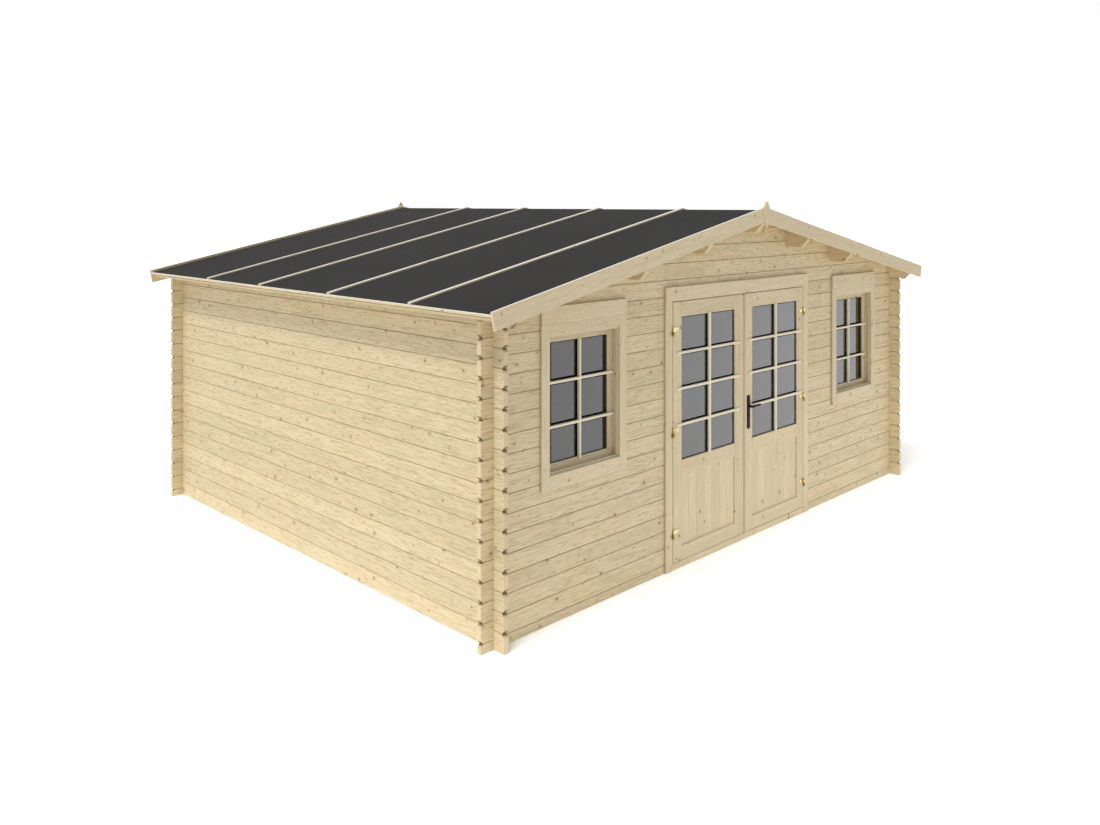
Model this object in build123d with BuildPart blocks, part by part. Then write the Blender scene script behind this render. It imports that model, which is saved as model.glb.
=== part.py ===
"""Garden house of interlocking logs with a felted gable roof, a glazed double door and two windows.

Millimetres. X runs along the front wall, Y from front to back, Z up from the ground.
"""

from build123d import *
from math import cos, radians, sin, tan
import os

# Log walls
log_height = 114
log_thickness = 34
log_bevel = 3
side_courses = 17
wall_width = 4980
wall_depth = 4080
corner_overrun = 91
end_notch_height = 40
end_notch_depth = 18
joint_gap = 0.4

# Roof
roof_pitch = 11.7
gable_overhang = 190
eave_overhang = 165
roof_board = 16
felt_thickness = 3
batten_width = 30
batten_thickness = 12
batten_shares = (0.168, 0.368, 0.575, 0.761)
fascia_thickness = 16
fascia_height = 14
soffit_lath_width = 34
soffit_lath_thickness = 23
soffit_lath_setback = 6
soffit_groove_height = 7
soffit_groove_depth = 14
purlin_width = 44
purlin_height = 146
purlin_shares = (0.26, 0.54)
snout_length = 55
snout_height = 60
bargeboard_width = 109
bargeboard_thickness = 18
bargeboard_rise = 20
bargeboard_overrun = 18
finial_width = 62
finial_point = 45
finial_tail = 155
finial_thickness = 16

# Trim shared by the door and the windows
casing_thickness = 18
head_board_thickness = 22
glass_thickness = 4

# Double door
leaf_width = 854.5
leaf_thickness = 40
leaf_gap = 6
meeting_gap = 8
stile_width = 95
meeting_stile = 112
top_rail = 105
lock_rail = 100
bottom_rail = 100
panel_height = 492
panel_thickness = 16
panel_recess = 10
door_glass_recess = 12
jamb_thickness = 32
jamb_depth = 52
stop_width = 20
sill_height = 47
sill_nose = 14
door_casing_width = 74
door_head_height = 100
strip_width = 28
strip_thickness = 6

# Hinges
hinge_radius = 7
hinge_height = 60
hinge_standoff = 8
hinge_inset = 200
hinge_wing = 3
fixed_wing_length = 26
leaf_wing_length = 56

# Lever handle
plate_width = 36
plate_height = 255
plate_thickness = 7
plate_corner = 17
plate_level = 950
lever_level = 994
lever_length = 122
lever_height = 20
lever_depth = 13
lever_standoff = 34
neck_diameter = 18
lever_corner = 7
lever_play = 0.5

# Windows
window_width = 636
window_height = 833
window_drop = 211
window_inset = 756
window_frame_thickness = 22
window_frame_depth = 80
sash_width = 48
sash_setback = 42
window_glass_setback = 58
window_casing_width = 70
window_top_casing = 75
window_bottom_casing = 86
window_head_height = 104

# Floor
bearer_width = 60
bearer_height = 40
bearer_count = 7
bearer_inset = 60
floor_board = 18

# Positions worked out from the sizes above
half_width = wall_width / 2
half_depth = wall_depth / 2
eave_height = side_courses * log_height
pitch = radians(roof_pitch)
ridge_height = eave_height + half_width * tan(pitch)
roof_length = wall_depth + 2 * gable_overhang
roof_run = (half_width + eave_overhang) / cos(pitch)
half_log = log_height / 2
head_course = side_courses - 1
top_course = int(ridge_height / log_height)

leaf_outer = meeting_gap / 2 + leaf_width
jamb_inner = leaf_outer + leaf_gap
jamb_outer = jamb_inner + jamb_thickness
door_side = jamb_outer + joint_gap
door_top = (head_course + 1) * log_height - half_log
head_underside = door_top - joint_gap - jamb_thickness
leaf_bottom = sill_height + leaf_gap
leaf_height = head_underside - leaf_gap - leaf_bottom
panel_bottom = leaf_bottom + bottom_rail
light_bottom = panel_bottom + panel_height + lock_rail
light_height = leaf_bottom + leaf_height - top_rail - light_bottom
light_width = leaf_width - stile_width - meeting_stile
leaf_middle = leaf_outer - leaf_width / 2
light_middle = leaf_middle + (meeting_stile - stile_width) / 2
stop_setback = leaf_thickness - casing_thickness + leaf_gap
stop_bottom = sill_height + joint_gap

window_x = half_width - window_inset
window_top = eave_height - window_drop
window_bottom = window_top - window_height

# Planes: the front wall's outer face and the undersides of the two roof slopes
front = Plane.XZ.offset(half_depth)
leaf_front = front.offset(casing_thickness)
left_slope = Plane((0, 0, ridge_height), (-cos(pitch), 0, -sin(pitch)), (-sin(pitch), 0, cos(pitch)))
right_slope = Plane((0, 0, ridge_height), (cos(pitch), 0, -sin(pitch)), (sin(pitch), 0, cos(pitch)))
ridge_cut = Plane.YZ.offset(-joint_gap / 2)

# Bottom and top of each course; the gable walls start with a half log, so their seams fall mid-log
side_seams = [course * log_height for course in range(side_courses)]
side_spans = list(zip(side_seams, side_seams[1:])) + [(side_seams[-1], eave_height + log_thickness)]
gable_seams = [0] + [course * log_height - half_log for course in range(1, top_course + 1)]
gable_spans = list(zip(gable_seams, gable_seams[1:])) + [(gable_seams[-1], ridge_height + log_thickness)]

bottom_left = (Align.MIN, Align.MIN)
bottom_centre = (Align.CENTER, Align.MIN)
bottom_right = (Align.MAX, Align.MIN)


def log_ends(plane, across, spans):
    """End-on sections of logs stacked on one another, with bevelled long edges."""
    with BuildSketch(plane) as ends:
        for bottom, top in spans:
            with Locations((across, bottom)):
                Rectangle(log_thickness, top - bottom - joint_gap, align=bottom_centre)
        chamfer(ends.vertices(), log_bevel)
    return ends.sketch


def cut_corner_joints(half_length, seams):
    """Cut the half laps and the V-shaped end notches of a wall's elevation, at each seam and both ends."""
    lap = half_length - log_thickness / 2
    tip = half_length + corner_overrun
    with Locations(*[(side * lap, seam) for side in (-1, 1) for seam in seams]):
        Rectangle(log_thickness + 2 * joint_gap, half_log + joint_gap, mode=Mode.SUBTRACT)
    with Locations(*[(side * tip, seam - joint_gap / 2) for side in (-1, 1) for seam in seams if seam > 0]):
        Polygon(
            (-end_notch_depth, 0),
            (0, -end_notch_height / 2),
            (end_notch_depth, 0),
            (0, end_notch_height / 2),
            mode=Mode.SUBTRACT,
        )


def cut_purlin_seats():
    """Cut the slots of a gable's elevation that the purlins pass through."""
    for share in (0, *purlin_shares, *[-share for share in purlin_shares]):
        seat = ridge_height - abs(share) * half_width * tan(pitch) - purlin_height - joint_gap
        with Locations((share * half_width, seat)):
            Rectangle(purlin_width + 2 * joint_gap, ridge_height, align=bottom_centre, mode=Mode.SUBTRACT)


def slope_point(down, up):
    """Point of a cross-section, measured down the left slope from the ridge and square up from it."""
    return (-down * cos(pitch) - up * sin(pitch), ridge_height - down * sin(pitch) + up * cos(pitch))


# Side walls: full logs, the top one running on to carry the roof's overhang
with BuildPart() as left_wall:
    extrude(
        log_ends(Plane.XZ, log_thickness / 2 - half_width, side_spans),
        amount=roof_length / 2,
        both=True,
    )
    with BuildSketch(Plane.YZ) as side_elevation:
        with Locations((0, -log_height)):
            Rectangle(wall_depth + 2 * corner_overrun, eave_height, align=bottom_centre)
        Polygon(
            (-roof_length / 2, side_seams[-1] + snout_height),
            (snout_length - roof_length / 2, side_seams[-1] - joint_gap / 2),
            (roof_length / 2 - snout_length, side_seams[-1] - joint_gap / 2),
            (roof_length / 2, side_seams[-1] + snout_height),
            (roof_length / 2, ridge_height),
            (-roof_length / 2, ridge_height),
            align=None,
        )
        cut_corner_joints(half_depth, [*side_seams, eave_height])
    extrude(amount=wall_width, both=True, mode=Mode.INTERSECT)
    split(bisect_by=left_slope, keep=Keep.BOTTOM)

with BuildPart() as right_wall:
    mirror(left_wall.part, about=Plane.YZ)

# Front wall beside the door, with the window opening cut through
with BuildPart() as front_wall_left:
    extrude(
        log_ends(Plane.YZ, log_thickness / 2 - half_depth, gable_spans[: head_course + 1]),
        amount=half_width + corner_overrun,
        both=True,
    )
    with BuildSketch(Plane.XZ) as front_elevation:
        with Locations((-door_side, -log_height)):
            Rectangle(wall_width, door_top + log_height, align=bottom_right)
        with Locations((-window_x, window_bottom - window_frame_thickness - joint_gap)):
            Rectangle(
                window_width + 2 * (window_frame_thickness + joint_gap),
                window_height + 2 * (window_frame_thickness + joint_gap),
                align=bottom_centre,
                mode=Mode.SUBTRACT,
            )
        cut_corner_joints(half_width, gable_seams[: head_course + 2])
    extrude(amount=wall_depth, both=True, mode=Mode.INTERSECT)

with BuildPart() as front_wall_right:
    mirror(front_wall_left.part, about=Plane.YZ)

# Gable over the door, cut to the slopes and slotted for the purlins
with BuildPart() as front_gable:
    extrude(
        log_ends(Plane.YZ, log_thickness / 2 - half_depth, gable_spans[head_course + 1 :]),
        amount=half_width + corner_overrun,
        both=True,
    )
    with BuildSketch(Plane.XZ) as gable_elevation:
        with Locations((0, door_top - joint_gap / 2)):
            Rectangle(wall_width + 2 * corner_overrun, ridge_height, align=bottom_centre)
        cut_corner_joints(half_width, gable_seams[head_course + 1 : head_course + 2])
        cut_purlin_seats()
    extrude(amount=wall_depth, both=True, mode=Mode.INTERSECT)
    split(bisect_by=left_slope, keep=Keep.BOTTOM)
    split(bisect_by=right_slope, keep=Keep.BOTTOM)

# Back wall: one unbroken stack up to the ridge
with BuildPart() as back_wall:
    extrude(
        log_ends(Plane.YZ, half_depth - log_thickness / 2, gable_spans),
        amount=half_width + corner_overrun,
        both=True,
    )
    with BuildSketch(Plane.XZ) as back_elevation:
        with Locations((0, -log_height)):
            Rectangle(wall_width + 2 * corner_overrun, 2 * ridge_height, align=bottom_centre)
        cut_corner_joints(half_width, gable_seams[: head_course + 2])
        cut_purlin_seats()
    extrude(amount=wall_depth, both=True, mode=Mode.INTERSECT)
    split(bisect_by=left_slope, keep=Keep.BOTTOM)
    split(bisect_by=right_slope, keep=Keep.BOTTOM)

# Purlins, with the lower corner of each end cut away
with BuildPart() as left_purlins:
    for share in purlin_shares:
        underside = ridge_height - share * half_width * tan(pitch) - purlin_height
        with BuildSketch(Plane.YZ.offset(-share * half_width - purlin_width / 2)) as purlin_side:
            Polygon(
                (-roof_length / 2, underside + snout_height),
                (snout_length - roof_length / 2, underside),
                (roof_length / 2 - snout_length, underside),
                (roof_length / 2, underside + snout_height),
                (roof_length / 2, ridge_height),
                (-roof_length / 2, ridge_height),
                align=None,
            )
        extrude(amount=purlin_width)
    split(bisect_by=left_slope, keep=Keep.BOTTOM)

with BuildPart() as right_purlins:
    mirror(left_purlins.part, about=Plane.YZ)

with BuildPart() as ridge_purlin:
    with BuildSketch(Plane.YZ.offset(-purlin_width / 2)) as ridge_side:
        Polygon(
            (-roof_length / 2, ridge_height - purlin_height + snout_height),
            (snout_length - roof_length / 2, ridge_height - purlin_height),
            (roof_length / 2 - snout_length, ridge_height - purlin_height),
            (roof_length / 2, ridge_height - purlin_height + snout_height),
            (roof_length / 2, ridge_height),
            (-roof_length / 2, ridge_height),
            align=None,
        )
    extrude(amount=purlin_width)
    split(bisect_by=left_slope, keep=Keep.BOTTOM)
    split(bisect_by=right_slope, keep=Keep.BOTTOM)

# Roof covering of the left slope, cut plumb at the ridge
with BuildPart() as left_roof_boards:
    with BuildSketch(left_slope) as board_outline:
        with Locations((-roof_board, 0)):
            Rectangle(roof_run + roof_board, roof_length, align=(Align.MIN, Align.CENTER))
    extrude(amount=roof_board)
    split(bisect_by=ridge_cut, keep=Keep.BOTTOM)

with BuildPart() as left_roof_felt:
    with BuildSketch(left_slope.offset(roof_board)) as felt_outline:
        with Locations((-roof_board, 0)):
            Rectangle(roof_run + roof_board, roof_length, align=(Align.MIN, Align.CENTER))
    extrude(amount=felt_thickness)
    split(bisect_by=ridge_cut, keep=Keep.BOTTOM)

with BuildPart() as left_roof_battens:
    with BuildSketch(left_slope.offset(roof_board + felt_thickness)) as batten_outlines:
        with Locations(*[(-roof_board, roof_length / 2 - share * roof_length) for share in batten_shares]):
            Rectangle(roof_run + roof_board, batten_width, align=(Align.MIN, Align.CENTER))
    extrude(amount=batten_thickness)
    split(bisect_by=ridge_cut, keep=Keep.BOTTOM)

# Eave: a slim fascia lath on the boards' edge and a second lath under the boards, with a groove along its face
soffit_outer = roof_run - soffit_lath_setback
soffit_inner = soffit_outer - soffit_lath_width
groove_inner = soffit_outer - soffit_groove_depth

with BuildPart() as left_eave_laths:
    with BuildSketch(left_slope.offset(roof_board + felt_thickness - fascia_height)) as fascia_outline:
        with Locations((roof_run, 0)):
            Rectangle(fascia_thickness, roof_length, align=(Align.MIN, Align.CENTER))
    extrude(amount=fascia_height)
    with BuildSketch(Plane.XZ) as soffit_section:
        Polygon(
            slope_point(soffit_inner, 0),
            slope_point(groove_inner, 0),
            slope_point(groove_inner, -soffit_groove_height),
            slope_point(soffit_outer, -soffit_groove_height),
            slope_point(soffit_outer, -soffit_lath_thickness),
            slope_point(soffit_inner, -soffit_lath_thickness),
            align=None,
        )
    extrude(amount=roof_length / 2, both=True)

with BuildPart() as right_roof_boards:
    mirror(left_roof_boards.part, about=Plane.YZ)

with BuildPart() as right_roof_felt:
    mirror(left_roof_felt.part, about=Plane.YZ)

with BuildPart() as right_roof_battens:
    mirror(left_roof_battens.part, about=Plane.YZ)

with BuildPart() as right_eave_laths:
    mirror(left_eave_laths.part, about=Plane.YZ)

# Bargeboards and finials that close the gable edges of the roof
barge_top = roof_board + felt_thickness + bargeboard_rise
barge_bottom = barge_top - bargeboard_width
barge_length = roof_run + bargeboard_overrun

with BuildPart() as front_bargeboards:
    with BuildSketch(front.offset(gable_overhang)) as barge_elevation:
        Polygon(
            (-joint_gap / 2, ridge_height + barge_top / cos(pitch)),
            (-joint_gap / 2, ridge_height + barge_bottom / cos(pitch)),
            slope_point(barge_length, barge_bottom),
            slope_point(barge_length, barge_top),
            align=None,
        )
        mirror(about=Plane.YZ)
    extrude(amount=bargeboard_thickness)

with BuildPart() as back_bargeboards:
    mirror(front_bargeboards.part, about=Plane.XZ)

with BuildPart() as finials:
    with BuildSketch(front.offset(gable_overhang + bargeboard_thickness)) as finial_elevation:
        with Locations((0, ridge_height + barge_top / cos(pitch))):
            Polygon(
                (0, finial_point),
                (-finial_width / 2, 0),
                (0, -finial_tail),
                (finial_width / 2, 0),
                align=None,
            )
    extrude(amount=finial_thickness)
    mirror(about=Plane.XZ)

# Door frame with the stops the leaves close on, sill and casing
with BuildPart() as door_frame:
    with BuildSketch(front) as frame_elevation:
        with Locations((-jamb_outer, 0)):
            Rectangle(jamb_thickness, door_top - joint_gap, align=bottom_left)
        with Locations((jamb_outer, 0)):
            Rectangle(jamb_thickness, door_top - joint_gap, align=bottom_right)
        with Locations((0, head_underside)):
            Rectangle(2 * (jamb_inner - joint_gap), jamb_thickness, align=bottom_centre)
    extrude(amount=-jamb_depth)
    with BuildSketch(front.offset(-stop_setback)) as stop_elevation:
        with Locations((joint_gap - jamb_inner, stop_bottom)):
            Rectangle(stop_width, head_underside - joint_gap - stop_bottom, align=bottom_left)
        with Locations((jamb_inner - joint_gap, stop_bottom)):
            Rectangle(stop_width, head_underside - joint_gap - stop_bottom, align=bottom_right)
        with Locations((0, head_underside - joint_gap - stop_width)):
            Rectangle(2 * (jamb_inner - stop_width - 2 * joint_gap), stop_width, align=bottom_centre)
    extrude(amount=-(jamb_depth - stop_setback))

with BuildPart() as door_sill:
    with BuildSketch(front.offset(sill_nose)) as sill_elevation:
        Rectangle(2 * (jamb_inner - joint_gap), sill_height, align=bottom_centre)
    extrude(amount=-(sill_nose + jamb_depth))

with BuildPart() as door_casing:
    with BuildSketch(front) as casing_elevation:
        with Locations((-jamb_inner, 0)):
            Rectangle(door_casing_width, head_underside - joint_gap, align=bottom_right)
        with Locations((jamb_inner, 0)):
            Rectangle(door_casing_width, head_underside - joint_gap, align=bottom_left)
    extrude(amount=casing_thickness)
    with BuildSketch(front) as head_elevation:
        with Locations((0, head_underside)):
            Rectangle(2 * (jamb_inner + door_casing_width), door_head_height, align=bottom_centre)
    extrude(amount=head_board_thickness)

# Door leaves: framed, glazed above and boarded below
with BuildPart() as left_leaf:
    with BuildSketch(leaf_front) as leaf_elevation:
        with Locations((-leaf_middle, leaf_bottom)):
            Rectangle(leaf_width, leaf_height, align=bottom_centre)
        with Locations((-light_middle, panel_bottom)):
            Rectangle(light_width, panel_height, align=bottom_centre, mode=Mode.SUBTRACT)
        with Locations((-light_middle, light_bottom)):
            Rectangle(light_width, light_height, align=bottom_centre, mode=Mode.SUBTRACT)
    extrude(amount=-leaf_thickness)

with BuildPart() as left_leaf_panel:
    with BuildSketch(leaf_front.offset(-panel_recess)) as panel_elevation:
        with Locations((-light_middle, panel_bottom + joint_gap)):
            Rectangle(light_width - 2 * joint_gap, panel_height - 2 * joint_gap, align=bottom_centre)
    extrude(amount=-panel_thickness)

with BuildPart() as left_leaf_glass:
    with BuildSketch(leaf_front.offset(-door_glass_recess)) as light_elevation:
        with Locations((-light_middle, light_bottom + joint_gap)):
            Rectangle(light_width - 2 * joint_gap, light_height - 2 * joint_gap, align=bottom_centre)
    extrude(amount=-glass_thickness)

with BuildPart() as right_leaf:
    mirror(left_leaf.part, about=Plane.YZ)

with BuildPart() as right_leaf_panel:
    mirror(left_leaf_panel.part, about=Plane.YZ)

with BuildPart() as right_leaf_glass:
    mirror(left_leaf_glass.part, about=Plane.YZ)

with BuildPart() as meeting_strip:
    with BuildSketch(leaf_front) as strip_elevation:
        with Locations((meeting_gap / 2, leaf_bottom)):
            Rectangle(strip_width, leaf_height, align=bottom_left)
    extrude(amount=strip_thickness)

# Hinges: a fixed knuckle with a wing on the casing, and the leaf's knuckle standing on it
hinge_x = jamb_inner - leaf_gap / 2
hinge_levels = [leaf_bottom + level for level in (hinge_inset, leaf_height / 2, leaf_height - hinge_inset)]

with BuildPart() as fixed_hinges:
    for level in hinge_levels:
        with BuildSketch(Plane.XY.offset(level - hinge_height / 2)) as fixed_knuckle:
            with Locations((-hinge_x, -half_depth - casing_thickness - hinge_standoff)):
                Circle(hinge_radius)
            with Locations((-hinge_x, -half_depth - casing_thickness)):
                Rectangle(fixed_wing_length, hinge_wing, align=(Align.MAX, Align.MAX))
        extrude(amount=hinge_height / 2 - joint_gap)
    mirror(about=Plane.YZ)

with BuildPart() as left_leaf_hinges:
    for level in hinge_levels:
        with BuildSketch(Plane.XY.offset(level)) as leaf_knuckle:
            with Locations((-hinge_x, -half_depth - casing_thickness - hinge_standoff)):
                Circle(hinge_radius)
            with Locations((-hinge_x + leaf_gap / 2, -half_depth - casing_thickness)):
                Rectangle(leaf_wing_length, hinge_wing, align=(Align.MIN, Align.MAX))
        extrude(amount=hinge_height / 2)

with BuildPart() as right_leaf_hinges:
    mirror(left_leaf_hinges.part, about=Plane.YZ)

# Lever handle on the right leaf's meeting stile
handle_x = meeting_gap / 2 + meeting_stile / 2

with BuildPart() as handle_plate:
    with BuildSketch(leaf_front) as plate_elevation:
        with Locations((handle_x, plate_level)):
            RectangleRounded(plate_width, plate_height, plate_corner)
    extrude(amount=plate_thickness)

with BuildPart() as handle_lever:
    with BuildSketch(leaf_front.offset(plate_thickness + lever_play)) as neck_section:
        with Locations((handle_x, lever_level)):
            Circle(neck_diameter / 2)
    extrude(amount=lever_standoff)
    with BuildSketch(leaf_front.offset(plate_thickness + lever_standoff - lever_depth)) as lever_elevation:
        with Locations((handle_x - lever_height / 2, lever_level)):
            RectangleRounded(
                lever_length + lever_height / 2,
                lever_height,
                lever_corner,
                align=(Align.MIN, Align.CENTER),
            )
    extrude(amount=lever_depth)

# Windows: casing outside, frame through the wall, fixed sash and one sheet of glass
with BuildPart() as left_window_casing:
    with BuildSketch(front) as window_casing_elevation:
        casing_bottom = window_bottom - window_bottom_casing
        casing_top = window_top + window_top_casing
        for side in (-1, 1):
            with Locations((side * (window_width + window_casing_width) / 2 - window_x, casing_bottom)):
                Rectangle(window_casing_width, casing_top - casing_bottom - joint_gap, align=bottom_centre)
        with Locations((-window_x, casing_bottom)):
            Rectangle(window_width - 2 * joint_gap, window_bottom_casing, align=bottom_centre)
        with Locations((-window_x, window_top)):
            Rectangle(window_width - 2 * joint_gap, window_top_casing - joint_gap, align=bottom_centre)
    extrude(amount=casing_thickness)
    with BuildSketch(front) as window_head_elevation:
        with Locations((-window_x, casing_top)):
            Rectangle(window_width + 2 * window_casing_width, window_head_height, align=bottom_centre)
    extrude(amount=head_board_thickness)

with BuildPart() as left_window_frame:
    with BuildSketch(front) as window_frame_elevation:
        with Locations((-window_x, window_bottom + window_height / 2)):
            Rectangle(window_width + 2 * window_frame_thickness, window_height + 2 * window_frame_thickness)
            Rectangle(window_width, window_height, mode=Mode.SUBTRACT)
    extrude(amount=-window_frame_depth)

sash_inner_width = window_width - 2 * sash_width
sash_inner_height = window_height - 2 * sash_width

with BuildPart() as left_window_sash:
    with BuildSketch(front.offset(-sash_setback)) as sash_elevation:
        with Locations((-window_x, window_bottom + window_height / 2)):
            Rectangle(window_width - 2 * joint_gap, window_height - 2 * joint_gap)
            Rectangle(sash_inner_width, sash_inner_height, mode=Mode.SUBTRACT)
    extrude(amount=-(window_frame_depth - sash_setback))

with BuildPart() as left_window_glass:
    with BuildSketch(front.offset(-window_glass_setback)) as window_glass_elevation:
        with Locations((-window_x, window_bottom + window_height / 2)):
            Rectangle(sash_inner_width - 2 * joint_gap, sash_inner_height - 2 * joint_gap)
    extrude(amount=-glass_thickness)

with BuildPart() as right_window_casing:
    mirror(left_window_casing.part, about=Plane.YZ)

with BuildPart() as right_window_frame:
    mirror(left_window_frame.part, about=Plane.YZ)

with BuildPart() as right_window_sash:
    mirror(left_window_sash.part, about=Plane.YZ)

with BuildPart() as right_window_glass:
    mirror(left_window_glass.part, about=Plane.YZ)

# Floor between the walls: bearers from side to side, and boards let in round the door frame
floor_width = wall_width - 2 * (log_thickness + joint_gap)
floor_depth = wall_depth - 2 * (log_thickness + joint_gap)
bearer_pitch = (floor_depth - bearer_width - 2 * bearer_inset) / (bearer_count - 1)

with BuildPart() as floor_bearers:
    with GridLocations(0, bearer_pitch, 1, bearer_count):
        Box(floor_width, bearer_width, bearer_height, align=(Align.CENTER, Align.CENTER, Align.MIN))

with BuildPart() as floor_boards:
    with BuildSketch(Plane.XY.offset(bearer_height)) as floor_outline:
        Rectangle(floor_width, floor_depth)
        with Locations((0, -half_depth)):
            Rectangle(2 * door_side, 2 * (jamb_depth + joint_gap), mode=Mode.SUBTRACT)
    extrude(amount=floor_board)

pieces = {
    "left_wall": left_wall,
    "right_wall": right_wall,
    "front_wall_left": front_wall_left,
    "front_wall_right": front_wall_right,
    "front_gable": front_gable,
    "back_wall": back_wall,
    "left_purlins": left_purlins,
    "right_purlins": right_purlins,
    "ridge_purlin": ridge_purlin,
    "left_roof_boards": left_roof_boards,
    "right_roof_boards": right_roof_boards,
    "left_roof_felt": left_roof_felt,
    "right_roof_felt": right_roof_felt,
    "left_roof_battens": left_roof_battens,
    "right_roof_battens": right_roof_battens,
    "left_eave_laths": left_eave_laths,
    "right_eave_laths": right_eave_laths,
    "front_bargeboards": front_bargeboards,
    "back_bargeboards": back_bargeboards,
    "finials": finials,
    "door_frame": door_frame,
    "door_sill": door_sill,
    "door_casing": door_casing,
    "left_leaf": left_leaf,
    "left_leaf_panel": left_leaf_panel,
    "left_leaf_glass": left_leaf_glass,
    "right_leaf": right_leaf,
    "right_leaf_panel": right_leaf_panel,
    "right_leaf_glass": right_leaf_glass,
    "fixed_hinges": fixed_hinges,
    "left_leaf_hinges": left_leaf_hinges,
    "right_leaf_hinges": right_leaf_hinges,
    "meeting_strip": meeting_strip,
    "handle_plate": handle_plate,
    "handle_lever": handle_lever,
    "left_window_casing": left_window_casing,
    "left_window_frame": left_window_frame,
    "left_window_sash": left_window_sash,
    "left_window_glass": left_window_glass,
    "right_window_casing": right_window_casing,
    "right_window_frame": right_window_frame,
    "right_window_sash": right_window_sash,
    "right_window_glass": right_window_glass,
    "floor_bearers": floor_bearers,
    "floor_boards": floor_boards,
}

os.makedirs("parts", exist_ok=True)
for label, piece in pieces.items():
    piece.part.label = label
    export_step(piece.part, f"parts/{label}.step")
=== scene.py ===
import math
import random
from collections import namedtuple
from itertools import product

import bmesh
import bpy
from mathutils import Matrix, Vector


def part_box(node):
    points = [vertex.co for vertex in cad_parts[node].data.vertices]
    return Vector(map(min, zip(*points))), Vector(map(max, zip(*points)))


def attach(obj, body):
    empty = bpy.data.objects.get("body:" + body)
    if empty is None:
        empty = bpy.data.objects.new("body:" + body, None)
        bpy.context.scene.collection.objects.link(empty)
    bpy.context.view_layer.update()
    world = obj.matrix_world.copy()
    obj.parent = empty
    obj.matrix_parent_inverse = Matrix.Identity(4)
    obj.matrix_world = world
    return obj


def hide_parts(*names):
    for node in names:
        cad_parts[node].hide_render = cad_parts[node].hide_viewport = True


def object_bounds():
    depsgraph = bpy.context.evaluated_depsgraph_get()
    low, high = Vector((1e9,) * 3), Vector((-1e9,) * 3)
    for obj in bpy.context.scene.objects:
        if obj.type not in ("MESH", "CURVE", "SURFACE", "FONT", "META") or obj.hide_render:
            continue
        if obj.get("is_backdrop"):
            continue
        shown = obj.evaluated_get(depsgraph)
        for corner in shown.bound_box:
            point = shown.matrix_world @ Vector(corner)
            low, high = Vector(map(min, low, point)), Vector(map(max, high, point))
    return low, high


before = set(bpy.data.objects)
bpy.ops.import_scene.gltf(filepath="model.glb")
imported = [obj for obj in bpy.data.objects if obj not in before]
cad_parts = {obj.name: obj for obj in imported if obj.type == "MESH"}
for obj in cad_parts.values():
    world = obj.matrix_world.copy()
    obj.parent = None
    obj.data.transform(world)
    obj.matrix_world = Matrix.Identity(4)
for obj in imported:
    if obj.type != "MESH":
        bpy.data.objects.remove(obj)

cad_low, cad_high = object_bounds()
scene = bpy.context.scene
scene.view_settings.view_transform = "Standard"


# Floor bearers: square-sawn spruce laid on the ground from side wall to side wall.
# The boards of the floor are nailed down to them. Sawn, not planed, so their arrises
# are only just broken and the wood is a little greyer than the rest.
weld_distance = 0.00005
bearer_ease = 0.0015


def join(tree, socket, value):
    """Links a socket where the value is one, or else sets it."""
    if isinstance(value, bpy.types.NodeSocket):
        tree.links.new(value, socket)
    else:
        socket.default_value = value


def fill(tree, node, sockets):
    """Sets a node's sockets by name, or links into them."""
    for key, value in sockets.items():
        join(tree, node.inputs[key.replace("_", " ")], value)


def put(tree, kind, setup=None, **sockets):
    """Adds a node to a material, with its settings, its values and the links into it."""
    made = tree.nodes.new("ShaderNode" + kind)
    for key, value in (setup or {}).items():
        setattr(made, key, value)
    fill(tree, made, sockets)
    return made


def new_material(name):
    """A fresh material and its node tree."""
    material = bpy.data.materials.new(name)
    material.use_nodes = True
    return material, material.node_tree


def coat(tree, **sockets):
    """Fills the sockets of a material's own shader."""
    fill(tree, tree.nodes["Principled BSDF"], sockets)


def reckon(tree, operation, *values, kind="Math"):
    """A sum on numbers that vary over the surface, or on places where the kind is VectorMath."""
    made = put(tree, kind, {"operation": operation})
    for socket, value in zip(made.inputs, values):
        join(tree, socket, value)
    return made.outputs[0]


def fade(tree, value, start, stop, first=0.0, last=1.0):
    """Runs smoothly from first to last while the value runs from start to stop."""
    made = put(tree, "MapRange", {"interpolation_type": "SMOOTHSTEP"}, Value=value)
    fill(tree, made, {"From_Min": start, "From_Max": stop, "To_Min": first, "To_Max": last})
    return made.outputs[0]


def tint(tree, amount, under, over):
    """Lays one colour over another."""
    made = put(tree, "Mix", {"data_type": "RGBA", "clamp_result": True})
    join(tree, made.inputs["Factor"], amount)
    join(tree, made.inputs[6], under)
    join(tree, made.inputs[7], over)
    return made.outputs[2]


def places_on(tree):
    """The places on a piece, in its own frame."""
    return put(tree, "TexCoord").outputs["Object"]


def noise(tree, place, scale=1.0, detail=2.0, roughness=0.5):
    """Cloudy noise over places, from 0 to 1."""
    return put(tree, "TexNoise", Vector=place, Scale=scale, Detail=detail, Roughness=roughness).outputs["Fac"]


def rings_in(tree, place, direction, scale, distortion, detail, detail_scale):
    """Growth rings: bands that darken slowly and end sharply."""
    setup = {"bands_direction": direction, "wave_profile": "SAW"}
    made = put(tree, "TexWave", setup, Vector=place, Scale=scale, Distortion=distortion)
    fill(tree, made, {"Detail": detail, "Detail_Scale": detail_scale})
    return made.outputs["Fac"]


def stretched(tree, wood, along, across):
    """The place in the wood, scaled along the grain and across it."""
    return reckon(tree, "MULTIPLY", wood, (along, across, across), kind="VectorMath")


def board_grain(tree):
    """Grain of a cut board: its places, end faces, painted edge shade and tone are kept with its mesh."""
    wood, *faces = (
        put(tree, "Attribute", {"attribute_name": layer}).outputs
        for layer in ("wood", "end", "painted_shade", "tone")
    )
    return wood["Vector"], *(face["Fac"] for face in faces)


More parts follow.
